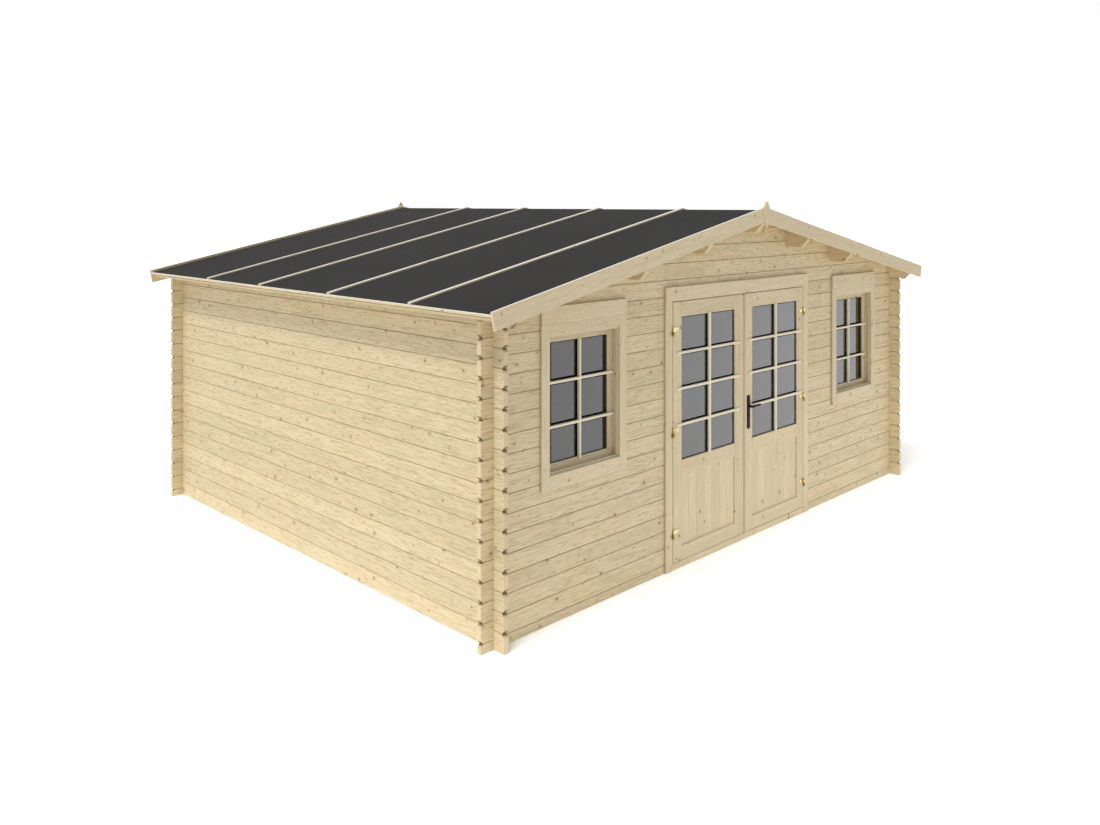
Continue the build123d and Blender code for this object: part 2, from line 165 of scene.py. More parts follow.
def spruce(name, pale, brown, grain=board_grain, knot_share=0.8, painted_top_light=0.0, figure=1.0):
    """Planed spruce: soft growth rings, fine fibres, pink and grey patches, small brown knots.

    Sky-facing faces are painted paler as painted light, shaded faces dark brown as painted shade, and figure
    deepens the short dashes.
    """
    pink = (pale[0], pale[1] * 0.96, pale[2] * 0.94, 1)
    grey = (pale[0] * 0.89, pale[1] * 0.92, pale[2] * 0.89, 1)
    painted_top_white = (0.94, 0.91, 0.77, 1)
    knot_brown = (0.30, 0.175, 0.085, 1)
    knot_halo = (0.56, 0.40, 0.21, 1)
    end_brown = (brown[0] * 0.90, brown[1] * 0.86, brown[2] * 0.85, 1)
    shade_brown = (0.21, 0.146, 0.072, 1)
    knots_per_metre = 7.0
    knot_sizes = (0.030, 0.095)
    large_knots = 2.8
    knot_swerve = 0.010
    rings_per_metre = 42.0
    end_rings_per_metre = 60.0

    # Figures to the metre, along the grain and across it, and how deeply each one colours the wood.
    ring_run, ring_depth = (0.045, 1.0), 0.38
    fibre_run, fibre_depth = (5.0, 240.0), 0.55
    streak_run, streak_depth = (2.4, 80.0), 0.65
    dash_run, dash_depth = (12.0, 130.0), 0.55 * figure
    patch_run, weather_run = (2.2, 13.0), (2.4, 24.0)
    end_depth, halo_depth, knot_depth, shade_depth = 0.55, 0.28, 0.85, 0.90

    material, tree = new_material(name)
    wood, end, painted_shade, tone = grain(tree)
    face = reckon(tree, "SUBTRACT", 1.0, end)

    knot_places = stretched(tree, wood, 0.8, 1.0)
    knot_cells = put(
        tree, "TexVoronoi", {"voronoi_dimensions": "2D"}, Vector=knot_places, Scale=knots_per_metre
    )
    cell = put(tree, "SeparateColor", Color=knot_cells.outputs["Color"])
    size_share = reckon(tree, "POWER", cell.outputs["Red"], large_knots)
    knot_size = fade(tree, size_share, 0.0, 1.0, *knot_sizes)
    from_knot = reckon(tree, "DIVIDE", knot_cells.outputs["Distance"], knot_size)
    kept = reckon(tree, "LESS_THAN", cell.outputs["Green"], knot_share)
    kept = reckon(tree, "MULTIPLY", kept, face)
    knot = reckon(tree, "MULTIPLY", fade(tree, from_knot, 0.35, 1.0, 1.0, 0.0), kept)
    halo = reckon(tree, "MULTIPLY", fade(tree, from_knot, 0.9, 2.8, 1.0, 0.0), kept)

    swerve = put(tree, "CombineXYZ", Y=reckon(tree, "MULTIPLY", halo, knot_swerve))
    flow = reckon(tree, "ADD", wood, swerve.outputs[0], kind="VectorMath")
    rings = rings_in(tree, stretched(tree, flow, *ring_run), "Y", rings_per_metre, 9.0, 2.0, 0.7)
    end_rings = rings_in(tree, stretched(tree, wood, 0.2, 1.0), "Z", end_rings_per_metre, 3.0, 1.0, 0.4)
    fibres = noise(tree, stretched(tree, flow, *fibre_run), detail=4.0, roughness=0.65)
    streaks = noise(tree, stretched(tree, wood, *streak_run), detail=4.0, roughness=0.7)
    dashes = noise(tree, stretched(tree, flow, *dash_run), detail=3.0)
    patches = noise(tree, stretched(tree, wood, *patch_run), detail=5.0, roughness=0.6)
    weather = noise(tree, stretched(tree, flow, *weather_run), detail=5.0, roughness=0.7)

    colour = pale
    for shown, start, stop, depth, over in (
        (patches, 0.43, 0.60, 1.0, pink),
        (weather, 0.48, 0.64, 1.0, grey),
        (rings, 0.45, 1.0, ring_depth, brown),
        (streaks, 0.48, 0.74, streak_depth, brown),
        (dashes, 0.50, 0.70, dash_depth, brown),
        (fibres, 0.45, 0.80, fibre_depth, brown),
    ):
        colour = tint(tree, fade(tree, shown, start, stop, 0.0, depth), colour, over)
    end_colour = tint(tree, fade(tree, end_rings, 0.3, 1.0, 0.0, end_depth), pale, end_brown)
    colour = tint(tree, end, colour, end_colour)
    colour = tint(tree, reckon(tree, "MULTIPLY", halo, halo_depth), colour, knot_halo)
    colour = tint(tree, reckon(tree, "MULTIPLY", knot, knot_depth), colour, knot_brown)
    # Painted light: faces turned up to the sky are painted paler.
    skyward = put(tree, "SeparateXYZ", Vector=put(tree, "NewGeometry").outputs["Normal"])
    colour = tint(tree, fade(tree, skyward.outputs["Z"], 0.75, 0.97, 0.0, painted_top_light), colour, painted_top_white)
    # Painted shade: faces that the grain marks, such as casing edges and log seams and notches, are painted
    # dark brown.
    colour = tint(tree, reckon(tree, "MULTIPLY", painted_shade, shade_depth), colour, shade_brown)
    toned = put(tree, "HueSaturation", Color=colour, Value=fade(tree, tone, 0.0, 1.0, 0.95, 1.03))

    relief = reckon(tree, "ADD", fibres, reckon(tree, "MULTIPLY", rings, 0.5))
    coat(
        tree,
        Base_Color=toned.outputs["Color"],
        Roughness=fade(tree, fibres, 0.3, 0.8, 0.58, 0.74),
        Normal=put(tree, "Bump", Strength=0.35, Distance=0.0006, Height=relief).outputs["Normal"],
        Specular_IOR_Level=0.3,
    )
    return material


def solids_of(*nodes):
    """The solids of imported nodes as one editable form, with the facets of each flat face joined."""
    form = bmesh.new()
    for node in nodes:
        form.from_mesh(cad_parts[node].data)
    bmesh.ops.remove_doubles(form, verts=form.verts, dist=weld_distance)
    bmesh.ops.dissolve_limit(form, angle_limit=math.radians(1), verts=form.verts, edges=form.edges)
    return form


def face_out(form):
    """Turns the faces of a form outward."""
    bmesh.ops.recalc_face_normals(form, faces=form.faces)


def ease(form, width):
    """Rounds the arrises as a plane does, so that they catch the light."""
    face_out(form)
    arrises = [edge for edge in form.edges if edge.calc_face_angle(0) > math.radians(20)]
    bmesh.ops.bevel(
        form, geom=arrises, offset=width, segments=2, profile=0.5, affect="EDGES", clamp_overlap=True
    )


def separate(form):
    """The separate boards of a form, each as a list of its corners, in the order they were made."""
    boards = []
    sorted_out = set()
    for start in form.verts:
        if start in sorted_out:
            continue
        sorted_out.add(start)
        board = [start]
        for vertex in board:
            for edge in vertex.link_edges:
                other = edge.other_vert(vertex)
                if other not in sorted_out:
                    sorted_out.add(other)
                    board.append(other)
        boards.append(board)
    return boards


def lay_grain(form, seed, shaded_edges):
    """Gives each board of a form its grain, along its longest edge, from its own part of the tree."""
    top_edge_shade, side_edge_shade = 0.85, 0.45
    tree_span = 40
    dice = random.Random(seed)
    middle = sum((vertex.co for vertex in form.verts), Vector()) / max(1, len(form.verts))
    wood = form.verts.layers.float_vector.new("wood")
    end, painted_shade, tone = (form.faces.layers.float.new(layer) for layer in ("end", "painted_shade", "tone"))
    for board in separate(form):
        edges = [edge for vertex in board for edge in vertex.link_edges]
        edges.sort(key=lambda edge: -round(edge.calc_length(), 5))
        runs = [(edge.verts[1].co - edge.verts[0].co).normalized() for edge in edges]
        along = runs[0]
        across = next((run for run in runs if abs(run.dot(along)) < 0.3), along.orthogonal())
        across = (across - across.dot(along) * along).normalized()
        into = along.cross(across)
        shift = Vector([dice.uniform(0, tree_span) for axis in range(3)])
        shade = dice.random()
        for vertex in board:
            place = vertex.co
            vertex[wood] = Vector((place.dot(along), place.dot(across), place.dot(into))) + shift
            for face in vertex.link_faces:
                face[end] = float(abs(face.normal.dot(along)) > 0.75)
                # Painted shade: the outer faces of boards with shaded edges are marked to be painted dark,
                # the tops most.
                outer = abs(face.normal.y) < 0.3 and face.normal.dot(face.calc_center_median() - middle) > 0
                depth = top_edge_shade if face.normal.z > 0.7 else side_edge_shade
                face[painted_shade] = depth if shaded_edges and outer else 0.0
                face[tone] = shade


def stand(name, data):
    """Puts a mesh, lamp or camera into the scene."""
    made = bpy.data.objects.new(name, data)
    scene.collection.objects.link(made)
    return made


def dress(name, form, material, body, slot, *stands_for):
    """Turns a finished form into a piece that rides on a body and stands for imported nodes."""
    mesh = bpy.data.meshes.new(name)
    form.to_mesh(mesh)
    form.free()
    if "custom_normal" in mesh.attributes:
        mesh.attributes.remove(mesh.attributes["custom_normal"])
    mesh.shade_flat()
    made = stand(name, mesh)
    mesh.materials.append(material)
    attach(made, body)
    if stands_for:
        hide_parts(*stands_for)
    return made


def plane(name, form, material, width, seed, body, slot, *stands_for, shaded_edges=False):
    """Eases a form of cut boards, lays its grain and dresses it."""
    ease(form, width)
    lay_grain(form, seed, shaded_edges)
    dress(name, form, material, body, slot, *stands_for)


def timber(name, material, width, slot, *nodes, body="house", shaded_edges=False):
    """A node's own timbers with eased arrises and a grain of their own."""
    form = solids_of(*nodes)
    plane(name, form, material, width, name, body, slot, *nodes, shaded_edges=shaded_edges)


sawn_spruce = spruce("sawn_spruce", pale=(0.65, 0.54, 0.35, 1), brown=(0.50, 0.39, 0.23, 1))
timber("bearers", sawn_spruce, bearer_ease, "floor_wood", "floor_bearers")


# Log walls: planed spruce logs, tongued into each other, with bevelled long edges. At the
# corners they lap half into half, so the courses of the gable walls sit half a log higher.
# Each course is a log of its own, with its own grain, tone and knots.
log_height = 0.114
log_pale = (0.825, 0.705, 0.468, 1)
log_brown = (0.535, 0.405, 0.220, 1)
log_knots = 0.95
log_figure = 1.4
lot_spread = (37.0, 29.0, 17.0)
notch_turn = (0.1, 0.4)
notch_shade = (log_height - 0.014, log_height - 0.007)
seam_shade = 0.85
bevel_shade = 0.16


def log_grain(run, start, seed):
    """Grain of a wall's logs, which lie along X or Y, with painted shade in their seams and notches; start is
    the lowest log's foot.
    """

    def grain(tree):
        coordinate = put(tree, "TexCoord")
        place = put(tree, "SeparateXYZ", Vector=coordinate.outputs["Object"]).outputs
        facing = put(tree, "SeparateXYZ", Vector=coordinate.outputs["Normal"]).outputs
        height = reckon(tree, "SUBTRACT", place["Z"], start)
        course = reckon(tree, "FLOOR", reckon(tree, "DIVIDE", height, log_height))
        through = place["X" if run == "Y" else "Y"]
        label = put(tree, "CombineXYZ", X=course, Y=reckon(tree, "SIGN", through), Z=float(seed))
        lot = put(tree, "TexWhiteNoise", {"noise_dimensions": "3D"}, Vector=label.outputs[0])
        shifts = put(tree, "SeparateColor", Color=lot.outputs["Color"]).outputs
        wood = put(tree, "CombineXYZ")
        for socket, shift, spread, way in zip(
            wood.inputs, ("Red", "Green", "Blue"), lot_spread, (place[run], place["Z"], through)
        ):
            join(tree, socket, reckon(tree, "MULTIPLY_ADD", shifts[shift], spread, way))
        lengthwise = reckon(tree, "ABSOLUTE", facing[run])
        end = reckon(tree, "GREATER_THAN", lengthwise, 0.75)
        # Painted shade: the downward bevels at each seam, the upward bevels a little, and the notches at the
        # log ends are painted dark brown.
        underside = fade(tree, facing["Z"], -0.6, -0.3, 1.0, 0.0)
        seam = reckon(tree, "MULTIPLY", underside, fade(tree, lengthwise, *notch_turn, seam_shade, 1.0))
        notch_back = fade(tree, reckon(tree, "FLOORED_MODULO", height, log_height), *notch_shade)
        notch_foot = reckon(tree, "MULTIPLY", notch_back, fade(tree, lengthwise, *notch_turn))
        shading = reckon(tree, "ADD", fade(tree, lengthwise, *notch_turn, bevel_shade, 0.0), notch_foot)
        upper_bevel = reckon(tree, "MULTIPLY", fade(tree, facing["Z"], 0.3, 0.6), shading)
        joint_shade = reckon(tree, "MAXIMUM", seam, upper_bevel)
        return wood.outputs[0], end, joint_shade, lot.outputs["Value"]

    return grain


def finish(material, *nodes):
    """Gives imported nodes, whose shape is right as it is, their material."""
    for node in nodes:
        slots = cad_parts[node].data.materials
        slots.clear()
        slots.append(material)


side_grain = log_grain("Y", 0.0, 3)
gable_grain = log_grain("X", -log_height / 2, 8)
side_logs = spruce("side_logs", log_pale, log_brown, side_grain, log_knots, figure=log_figure)
gable_logs = spruce("gable_logs", log_pale, log_brown, gable_grain, log_knots, figure=log_figure)
finish(side_logs, "left_wall", "right_wall")
finish(gable_logs, "front_wall_left", "front_wall_right", "front_gable", "back_wall")


# Floor boards: tongued spruce boards nailed across the bearers, with a fine V at each joint.
# The first boards stop at the door frame, so the floor starts flush behind the sill.
floor_board_width = 0.096
floor_board_ease = 0.0016
board_joint = 0.0006


def add_box(form, low, high):
    """Adds a square block between two corners."""
    points = [form.verts.new(corner) for corner in product(*zip(low, high))]
    for loop in ((0, 1, 3, 2), (4, 6, 7, 5), (0, 4, 5, 1), (2, 3, 7, 6), (0, 2, 6, 4), (1, 5, 7, 3)):
        form.faces.new([points[index] for index in loop])


def shares(start, stop, width):
    """Splits a length into equal boards of about the given width, as pairs of edges."""
    count = max(1, round((stop - start) / width))
    step = (stop - start) / count
    edges = [start + index * step for index in range(count + 1)]
    return [(near + board_joint / 2, far - board_joint / 2) for near, far in zip(edges, edges[1:])]


floor_low, floor_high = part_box("floor_boards")
frame_low, frame_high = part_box("door_frame")
floor_form = bmesh.new()
for left, right in shares(floor_low.x, floor_high.x, floor_board_width):
    at_door = right > frame_low.x and left < frame_high.x
    foot = frame_high.y + board_joint if at_door else floor_low.y
    add_box(floor_form, (left, foot, floor_low.z), (right, floor_high.y, floor_high.z))
floor_spruce = spruce("floor_spruce", pale=(0.74, 0.62, 0.40, 1), brown=(0.57, 0.44, 0.25, 1))
plane(
    "floor_planks", floor_form, floor_spruce, floor_board_ease, "floor", "house", "floor_wood", "floor_boards"
)


# Purlins: planed spruce beams let into both gable walls, which carry the roof boards.
# They run out under the overhang, and the lower corner of each end is cut away.
purlin_ease = 0.003
# Painted shade: the purlins' spruce is darker than the logs', for the shade under the roof.
shaded_beam_spruce = spruce("shaded_beam_spruce", pale=(0.760, 0.625, 0.395, 1), brown=(0.540, 0.405, 0.220, 1))
timber("purlins", shaded_beam_spruce, purlin_ease, "log_wood", "left_purlins", "right_purlins", "ridge_purlin")


# Roof boards: tongued boards nailed down the slope over the purlins, bevelled on the underside.
# They show from below at the eaves and gables, and from inside the room.
roof_pitch = math.radians(11.7)
roof_board = 0.016
roof_board_width = 0.096
roof_board_ease = 0.0025


def slope_to_room(side, ridge_height):
    """Turns places measured down the slope, along the house and up from the boards into the room's."""
    turn = Matrix.Rotation(side * roof_pitch, 4, "Y")
    flip = Matrix.Diagonal((side, 1, 1, 1))
    return Matrix.Translation((0, 0, ridge_height)) @ turn @ flip


roof_spruce = spruce("roof_spruce", pale=(0.77, 0.65, 0.43, 1), brown=(0.60, 0.47, 0.27, 1))
for side, slope in ((-1, "left"), (1, "right")):
    slope_low, slope_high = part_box(f"{slope}_roof_boards")
    ridge_height = slope_high.z - roof_board / math.cos(roof_pitch)
    eave_reach = max(abs(slope_low.x), abs(slope_high.x)) - roof_board * math.sin(roof_pitch)
    eave = eave_reach / math.cos(roof_pitch)
    roof_form = bmesh.new()
    for front, back in shares(slope_low.y, slope_high.y, roof_board_width):
        add_box(roof_form, (0, front, 0), (eave, back, roof_board))
    for vertex in roof_form.verts:
        if vertex.co.x < eave / 2:
            vertex.co.x -= vertex.co.z * math.tan(roof_pitch) - board_joint
    ease(roof_form, roof_board_ease)
    bmesh.ops.transform(roof_form, matrix=slope_to_room(side, ridge_height), verts=roof_form.verts)
    face_out(roof_form)
    lay_grain(roof_form, slope, False)
    dress(f"{slope}_roof_planks", roof_form, roof_spruce, "house", "roof_wood", f"{slope}_roof_boards")


# Roof felt: bitumen felt with a dull mineral face, rolled down the slope and nailed at the edges.
# Charcoal grey with a fine grit, a little uneven in tone from sheet to sheet.
felt_grey = (0.042, 0.0410, 0.0397, 1)
felt_dark = (0.034, 0.0333, 0.0323, 1)
felt_fleck = (0.076, 0.0747, 0.0725, 1)
grit_per_metre = 900.0
clouds_per_metre = 1.6

felt, tree = new_material("mineral_felt")
coordinate = places_on(tree)
grit = noise(tree, coordinate, grit_per_metre, 2.0, 0.7)
weathering = noise(tree, coordinate, clouds_per_metre, 3.0, 0.55)
colour = tint(tree, fade(tree, weathering, 0.35, 0.70, 0.0, 0.45), felt_grey, felt_dark)
colour = tint(tree, fade(tree, grit, 0.55, 0.75, 0.0, 0.70), colour, felt_fleck)
coat(
    tree,
    Base_Color=colour,
    Roughness=fade(tree, grit, 0.3, 0.7, 0.82, 0.95),
    Normal=put(tree, "Bump", Strength=0.5, Distance=0.0008, Height=grit).outputs["Normal"],
    Specular_IOR_Level=0.06,
)
finish(felt, "left_roof_felt", "right_roof_felt")


# Roof battens: slim spruce battens nailed down the slope over the felt's joints.
# Flat nail heads show along each one.
batten_ease = 0.0022
nail_radius = 0.0026
nail_rise = 0.0005
nail_profile = ((-1.0, 1.0), (0.5, 1.0), (1.0, 0.7))
nail_sides = 10
nail_pitch = 0.30

batten_spruce = spruce(
    "batten_spruce", pale=(0.88, 0.82, 0.63, 1), brown=(0.78, 0.70, 0.50, 1), knot_share=0.4, painted_top_light=0.9
)
for slope in ("left", "right"):
    timber(f"{slope}_battens", batten_spruce, batten_ease, "roof_wood", f"{slope}_roof_battens")


def worn_finish(name, bright, dull, roughness, metallic=1.0, grain=60.0, shine=0.5):
    """Metal, coating or rubber: cloudy handling marks over a fine roughness."""
    material, tree = new_material(name)
    coordinate = places_on(tree)
    clouds = noise(tree, coordinate, grain, 4.0, 0.6)
    specks = noise(tree, coordinate, grain * 30, 2.0, 0.6)
    coat(
        tree,
        Base_Color=tint(tree, fade(tree, clouds, 0.35, 0.75), bright, dull),
        Roughness=fade(tree, clouds, 0.3, 0.8, roughness * 0.8, roughness * 1.3),
        Normal=put(tree, "Bump", Strength=0.15, Distance=0.0002, Height=specks).outputs["Normal"],
        Metallic=metallic,
        Specular_IOR_Level=shine,
    )
    return material


def close_round(form, rings):
    """Joins rings of corners into a round piece, closed at both ends."""
    count = len(rings[0])
    for lower, upper in zip(rings, rings[1:]):
        for index in range(count):
            after = (index + 1) % count
            form.faces.new((lower[index], lower[after], upper[after], upper[index]))
    form.faces.new(rings[0][::-1])
    form.faces.new(rings[-1])


def add_turning(form, centre, axis, profile, sides=20):
    """Adds a turned piece: rings of (height, radius) along an axis."""
    axis = Vector(axis).normalized()
    first = axis.orthogonal().normalized()
    second = axis.cross(first)
    rings = []
    for height, radius in profile:
        ring = []
        for index in range(sides):
            angle = 2 * math.pi * index / sides
            spoke = first * math.cos(angle) + second * math.sin(angle)
            ring.append(form.verts.new(Vector(centre) + axis * height + spoke * radius))
        rings.append(ring)
    close_round(form, rings)


def add_nail(form, place, outward):
    """Adds a flat nail head that lies on a face."""
    profile = [(nail_rise * up, nail_radius * out) for up, out in nail_profile]
    add_turning(form, place, outward, profile, nail_sides)


def smooth(piece, angle=35):
    """Shades round metal smoothly up to its edges."""
    piece.data.shade_smooth()
    piece.data.set_sharp_from_angle(angle=math.radians(angle))
    return piece


zinc = worn_finish("zinc_nails", bright=(0.48, 0.46, 0.42, 1), dull=(0.33, 0.31, 0.28, 1), roughness=0.45)
nail_form = bmesh.new()
for side, slope in ((-1, "left"), (1, "right")):
    batten_low, batten_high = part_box(f"{slope}_roof_battens")
    outward = Vector((side * math.sin(roof_pitch), 0, math.cos(roof_pitch)))
    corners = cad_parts[f"{slope}_roof_battens"].data.vertices
    ends = sorted({round(corner.co.y, 4) for corner in corners})
    centres = [(ends[index] + ends[index + 1]) / 2 for index in range(0, len(ends) - 1, 2)]
    reach = abs(batten_low.x if side < 0 else batten_high.x)
    count = int(reach / nail_pitch)
    for centre in centres:
        for index in range(count):
            across = (index + 0.5) * reach / count
            top = batten_high.z - across * math.tan(roof_pitch)
            add_nail(nail_form, (side * across, centre, top), outward)
smooth(dress("batten_nails", nail_form, zinc, "house", "roof_wood"))


# Eave laths: a fascia lath that covers the ends of the roof boards, and a second lath below it
# nailed up under the boards. Planed spruce, eased.
lath_ease = 0.0022
edge_spruce = spruce(
    "edge_spruce", pale=(0.855, 0.735, 0.500, 1), brown=(0.680, 0.545, 0.330, 1), painted_top_light=0.9
)
timber("eave_laths", edge_spruce, lath_ease, "roof_wood", "left_eave_laths", "right_eave_laths")


# Bargeboards and finials: planed boards nailed over the gable edges of the roof, with a kite-shaped
# plate over the joint at the ridge. Two nails hold each board at every purlin.
barge_width = 0.109
barge_ease = 0.0025
finial_ease = 0.002
barge_nail_gap = 0.026


def boards_of(node):
    """Lowest and highest corners of each separate board of a node."""
    form = solids_of(node)
    boxes = []
    for board in separate(form):
        low = Vector([min(vertex.co[axis] for vertex in board) for axis in range(3)])
        high = Vector([max(vertex.co[axis] for vertex in board) for axis in range(3)])
        boxes.append((low, high))
    form.free()
    return boxes


timber("bargeboards", edge_spruce, barge_ease, "roof_wood", "front_bargeboards", "back_bargeboards")
timber("finial_plates", edge_spruce, finial_ease, "roof_wood", "finials")

barge_form = bmesh.new()
barge_low, barge_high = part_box("front_bargeboards")
barge_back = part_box("back_bargeboards")[1].y
barge_middle = barge_high.z - barge_width / 2 / math.cos(roof_pitch)
wall_low, wall_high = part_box("right_wall")
purlin_centres = [(low.x + high.x) / 2 for low, high in boards_of("right_purlins")]
purlin_centres.append((wall_low.x + wall_high.x) / 2)
for face, outward in ((barge_low.y, -1), (barge_back, 1)):
    for side in (-1, 1):
        for across in purlin_centres:
            for lift in (-barge_nail_gap, barge_nail_gap):
                height = barge_middle - across * math.tan(roof_pitch) + lift
                add_nail(barge_form, (side * across, face, height), (0, outward, 0))
smooth(dress("bargeboard_nails", barge_form, zinc, "house", "roof_wood"))


# Door frame: jambs and head let into the opening, with stops planted round them for the leaves
# to close on, and a sill across the foot. Planed spruce, like the leaves.
frame_ease = 0.0022
sill_ease = 0.003
trim_spruce = spruce(
    "trim_spruce", pale=(0.825, 0.712, 0.492, 1), brown=(0.655, 0.527, 0.322, 1), painted_top_light=0.9
)
timber("door_lining", trim_spruce, frame_ease, "frame_wood", "door_frame")
timber("door_step", trim_spruce, sill_ease, "frame_wood", "door_sill")


# Door casing: flat planed boards nailed on the logs round the opening, the head board thicker than
# the sides. Their outer edges are painted dark brown, the tops most, as painted shade against the
# logs.
casing_ease = 0.0040
casing_nail_pitch = 0.42
casing_nail_inset = 0.016


def case(opening):
    """Casing boards round an opening, with the pairs of nails that hold them."""
    node = f"{opening}_casing"
    timber(f"{opening}_architrave", trim_spruce, casing_ease, "frame_wood", node, shaded_edges=True)
    nails = bmesh.new()
    for low, high in boards_of(node):
        upright = high.z - low.z > high.x - low.x
        width, run = sorted((high.x - low.x, high.z - low.z))
        count = max(2, round(run / casing_nail_pitch) + 1)
        for index in range(count):
            step = casing_nail_inset * 2 + (run - casing_nail_inset * 4) * index / (count - 1)
            for edge in (casing_nail_inset, width - casing_nail_inset):
                x, z = (edge, step) if upright else (step, edge)
                add_nail(nails, (low.x + x, low.y, low.z + z), (0, -1, 0))
    smooth(dress(f"{opening}_casing_nails", nails, zinc, "house", "frame_wood"))


case("door")


# Door leaves: stiles and rails of planed spruce, jointed at the shoulders, with the glass held from
# inside by slim beads. The stiles run through; the rails stop against them with a fine joint line.
leaf_ease = 0.003
shoulder = 0.0004
bead_width = 0.018
bead_setback = 0.003
bead_ease = 0.002
door_spruce = spruce(
    "door_spruce", pale=(0.800, 0.685, 0.460, 1), brown=(0.645, 0.515, 0.310, 1), painted_top_light=0.9
)


def drawn_in(low, high, width, height=None):
    """The corners of an opening, moved in by a width at the sides and a height above and below."""
    step = Vector((width, 0, width if height is None else height))
    return low + step, high - step


def add_ring(form, low, high, inner_low, inner_high, front, back):
    """Adds four members round an opening in a wall: two uprights, and two rails between them."""
    add_box(form, (low.x, front, low.z), (inner_low.x, back, high.z))
    add_box(form, (inner_high.x, front, low.z), (high.x, back, high.z))
    add_box(form, (inner_low.x + shoulder, front, low.z), (inner_high.x - shoulder, back, inner_low.z))
    add_box(form, (inner_low.x + shoulder, front, inner_high.z), (inner_high.x - shoulder, back, high.z))


for side in ("left", "right"):
    leaf_low, leaf_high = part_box(f"{side}_leaf")
    light_low, light_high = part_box(f"{side}_leaf_glass")
    panel_low, panel_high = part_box(f"{side}_leaf_panel")
    leaf_form = bmesh.new()
    opening_low = Vector((light_low.x, 0, panel_low.z))
    add_ring(leaf_form, leaf_low, leaf_high, opening_low, light_high, leaf_low.y, leaf_high.y)
    rail_left, rail_right = light_low.x + shoulder, light_high.x - shoulder
    add_box(leaf_form, (rail_left, leaf_low.y, panel_high.z), (rail_right, leaf_high.y, light_low.z))
    body = f"{side}_door"
    named = (f"{side} leaf", body, "door_wood", f"{side}_leaf")
    plane(f"{side}_leaf_framing", leaf_form, door_spruce, leaf_ease, *named)

    bead_form = bmesh.new()
    bead_low, bead_high = drawn_in(light_low, light_high, bead_width)
    bead_back = leaf_high.y - bead_setback
    add_ring(bead_form, light_low, light_high, bead_low, bead_high, light_high.y, bead_back)
    plane(f"{side}_leaf_beads", bead_form, door_spruce, bead_ease, f"{side} bead", body, "door_wood")


# Door panels: upright tongued spruce boards let into the frame below the lock rail. They are
# bevelled at the joints, so that a fine V shows between them.
panel_board_width = 0.095
panel_board_ease = 0.003
panel_spruce = spruce("panel_spruce", pale=(0.83, 0.71, 0.482, 1), brown=(0.68, 0.55, 0.342, 1))
for side in ("left", "right"):
    panel_low, panel_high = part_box(f"{side}_leaf_panel")
    panel_form = bmesh.new()
    for left, right in shares(panel_low.x, panel_high.x, panel_board_width):
        add_box(panel_form, (left, panel_low.y, panel_low.z), (right, panel_high.y, panel_high.z))
    named = (f"{side} panel", f"{side}_door", "door_wood", f"{side}_leaf_panel")
    plane(f"{side}_leaf_boards", panel_form, panel_spruce, panel_board_ease, *named)


# Glass: one sheet to each leaf and window, with a neutral grey tint and a strong mirror to it.
# It shows the pale surroundings, and more of them the flatter it is seen. The windows' glass is
# darker. Beads and rubber seals hold it.
ripples_per_metre = 2.5


def sheet_glass(name, tint_colour, index):
    """Tinted glass with a mirror coating and a faint ripple."""
    material, tree = new_material(name)
    ripple = noise(tree, places_on(tree), ripples_per_metre, 1.0)
    coat(
        tree,
        Normal=put(tree, "Bump", Strength=0.03, Distance=0.001, Height=ripple).outputs["Normal"],
        Roughness=fade(tree, ripple, 0.3, 0.7, 0.0, 0.03),
        Base_Color=tint_colour,
        IOR=index,
        Transmission_Weight=1.0,
        Coat_Weight=1.0,
        Coat_IOR=index * 0.9,
        Coat_Roughness=0.01,
    )
    return material


door_glass = sheet_glass("door_glass", tint_colour=(0.14, 0.139, 0.136, 1), index=1.62)
window_glass = sheet_glass("window_glass", tint_colour=(0.11, 0.108, 0.104, 1), index=1.57)
finish(door_glass, "left_leaf_glass", "right_leaf_glass")
finish(window_glass, "left_window_glass", "right_window_glass")


# Door bars: slim planed bars over each leaf's glass, a little proud of the face, with a second set
# inside. The cross bars are notched and run on over the stiles; the upright is let in between the
# rails. A flat black gasket lies between each bar and the glass. The black strip that shows beside
# each bar on the glass is painted shadow and painted reflection of the bar.
Bars = namedtuple("Bars", "cross upright rise depth foot_lap head_lap gasket_margin seal_width")
door_bars = Bars(
    cross=0.018, upright=0.024, rise=0.010, depth=0.016,
    foot_lap=0.006, head_lap=0.006, gasket_margin=0.010, seal_width=0.011,
)
door_bar_lap = 0.058
door_panes = 4
plate_clearance = 0.004
bar_ease = 0.002
bar_off_glass = 0.0012
inner_bar_depth = 0.014
upright_setback = 0.0008
seal_height = 0.006
seal_rise = 0.002
gasket_gap = 0.0003
gasket_ease = 0.0004
bar_spruce = spruce(
    "bar_spruce", pale=(0.93, 0.87, 0.69, 1), brown=(0.86, 0.77, 0.56, 1), knot_share=0.2, painted_top_light=0.9
)
rubber_finish = {"roughness": 0.65, "metallic": 0.0, "grain": 40.0, "shine": 0.03}
rubber_and_shadow = worn_finish(
    "black_rubber_and_painted_shadow", bright=(0.004, 0.004, 0.004, 1), dull=(0.009, 0.0085, 0.008, 1), **rubber_finish
)


def add_bar(form, start, stop, inner_start, inner_stop, level, width, front, face, back, upright=False):
    """Adds a bar across an opening or up it, thinned at both ends where it lies on the frame's face."""
    outline = [(start, front), (stop, front), (stop, face), (inner_stop, face)]
    outline += [(inner_stop, back), (inner_start, back), (inner_start, face), (start, face)]
    edges = []
    for edge in (level - width / 2, level + width / 2):
        places = [(edge, y, run) if upright else (run, y, edge) for run, y in outline]
        edges.append([form.verts.new(place) for place in places])
    lower, upper = edges
    form.faces.new(lower)
    form.faces.new(upper)
    for index in range(len(outline)):
        after = (index + 1) % len(outline)
        form.faces.new((lower[index], lower[after], upper[after], upper[index]))


